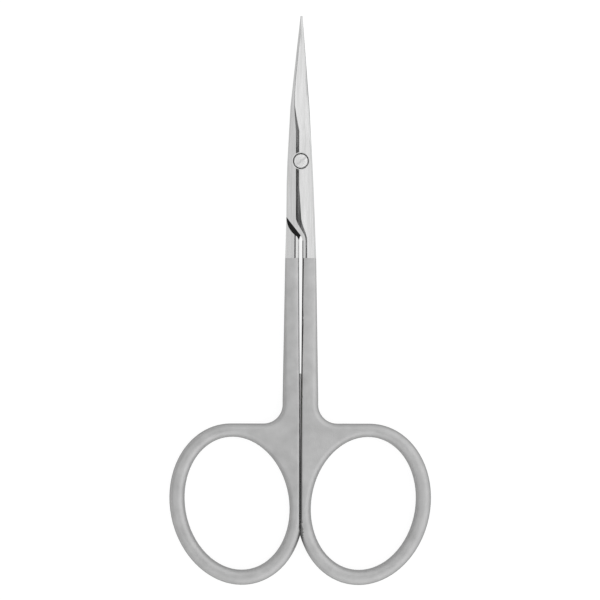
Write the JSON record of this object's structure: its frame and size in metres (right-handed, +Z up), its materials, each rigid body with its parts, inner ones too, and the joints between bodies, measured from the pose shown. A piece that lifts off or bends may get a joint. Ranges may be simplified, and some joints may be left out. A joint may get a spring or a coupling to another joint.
{
  "type": "cuticle scissors",
  "caption": "Slim cuticle scissors with fine pointed blades, a slotted pivot screw, long straight shanks and oval finger rings; polished blades and satin handles.",
  "frame": {"origin": "on the surface the scissors lie on, below the middle of their outline, closed", "axes": "+X towards the front half's finger ring, +Y from the finger rings to the blade tips, +Z up, out of the face with the screw's head"},
  "size_m": [0.0524, 0.1138, 0.0034],
  "materials": {
    "stainless_steel": "polished blades and joint, bead-blasted satin shanks and rings",
    "screw_steel": "turned, brushed on the head"
  },
  "bodies": {
    "rear": {"rear_half": "stainless_steel", "pivot_screw": "screw_steel"},
    "front": {"front_half": "stainless_steel"}
  },
  "joints": [
    {"name": "pivot", "type": "hinge", "parent": "rear", "child": "front", "pos_m": [0, 0.0279, 0.0017], "axis": [0, 0, 1], "range_deg": [0, 150]}
  ]
}
